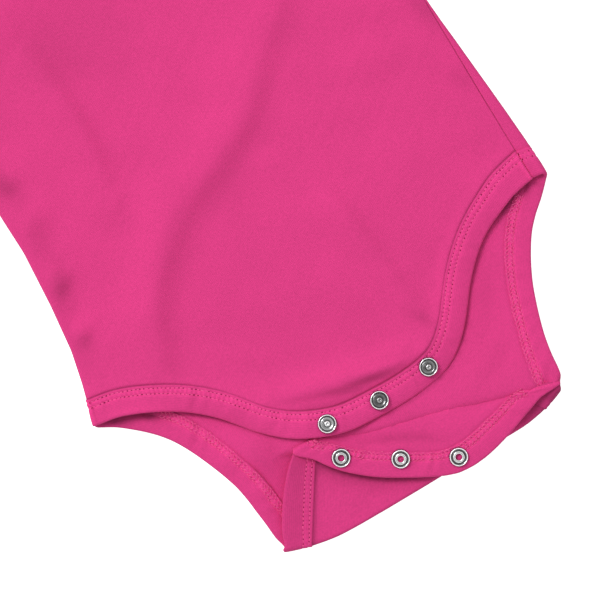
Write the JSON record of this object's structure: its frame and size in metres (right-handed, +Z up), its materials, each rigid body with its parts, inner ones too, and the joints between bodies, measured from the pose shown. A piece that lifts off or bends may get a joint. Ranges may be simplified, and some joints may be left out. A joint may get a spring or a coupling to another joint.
{
  "type": "baby bodysuit",
  "caption": "Short-sleeved pink cotton baby bodysuit laid flat on its back, with bound leg openings and its snap crotch flaps unfastened.",
  "frame": {"origin": "on the surface the garment lies on, under the middle of its box", "axes": "+X towards the wearer's left side, +Y from the crotch to the neck, +Z up out of the front"},
  "size_m": [0.3778, 0.4514, 0.0134],
  "materials": {
    "pink_interlock": "matt cotton interlock knit",
    "pink_binding": "matt cotton knit, folded double and stitched",
    "polished_snap": "polished",
    "brushed_socket": "satin",
    "prong_ring": "satin"
  },
  "bodies": {
    "root": {"front_panel": "pink_interlock", "back_panel": "pink_interlock", "left_sleeve": "pink_interlock", "right_sleeve": "pink_interlock", "front_leg_binding": "pink_binding", "back_leg_binding": "pink_binding", "neck_binding": "pink_binding", "stud_1": "polished_snap", "stud_2": "polished_snap", "stud_3": "polished_snap", "socket_1": "brushed_socket", "socket_2": "brushed_socket", "socket_3": "brushed_socket", "stud_ring_1": "prong_ring", "stud_ring_2": "prong_ring", "stud_ring_3": "prong_ring", "socket_ring_1": "prong_ring", "socket_ring_2": "prong_ring", "socket_ring_3": "prong_ring"}
  },
  "joints": []
}
